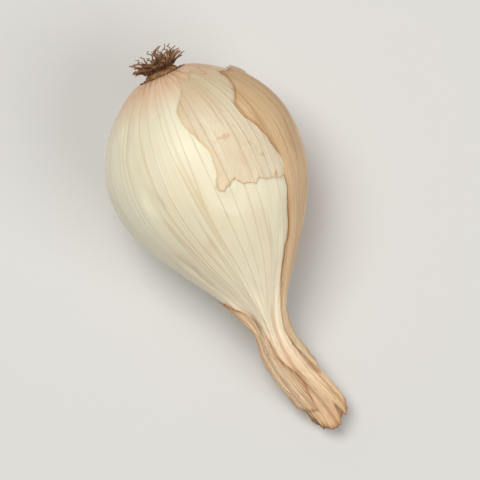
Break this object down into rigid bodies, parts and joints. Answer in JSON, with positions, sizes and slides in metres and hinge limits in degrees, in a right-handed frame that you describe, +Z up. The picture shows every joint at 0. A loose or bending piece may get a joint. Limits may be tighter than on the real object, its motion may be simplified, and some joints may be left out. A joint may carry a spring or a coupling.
{
  "type": "onion set",
  "caption": "Small dormant onion bulb for planting, pear-shaped, with a dried flattened neck, torn papery skin and a tuft of dried roots.",
  "frame": {"origin": "centre of the small flat spot on the belly that the bulb rests on", "axes": "+Z up from the surface it rests on, +Y towards the root end, -Y towards the dried neck, +X to the right seen from above with the root end away"},
  "size_m": [0.0257, 0.0519, 0.0243],
  "materials": {
    "bulb_skin": "satin",
    "dry_skin": "satin",
    "dry_leaf": "matte",
    "dry_root": "matte"
  },
  "bodies": {
    "root": {"bulb": "bulb_skin", "outer_skin": "dry_skin", "neck_leaf": "dry_leaf", "root_tuft": "dry_root"}
  },
  "joints": []
}
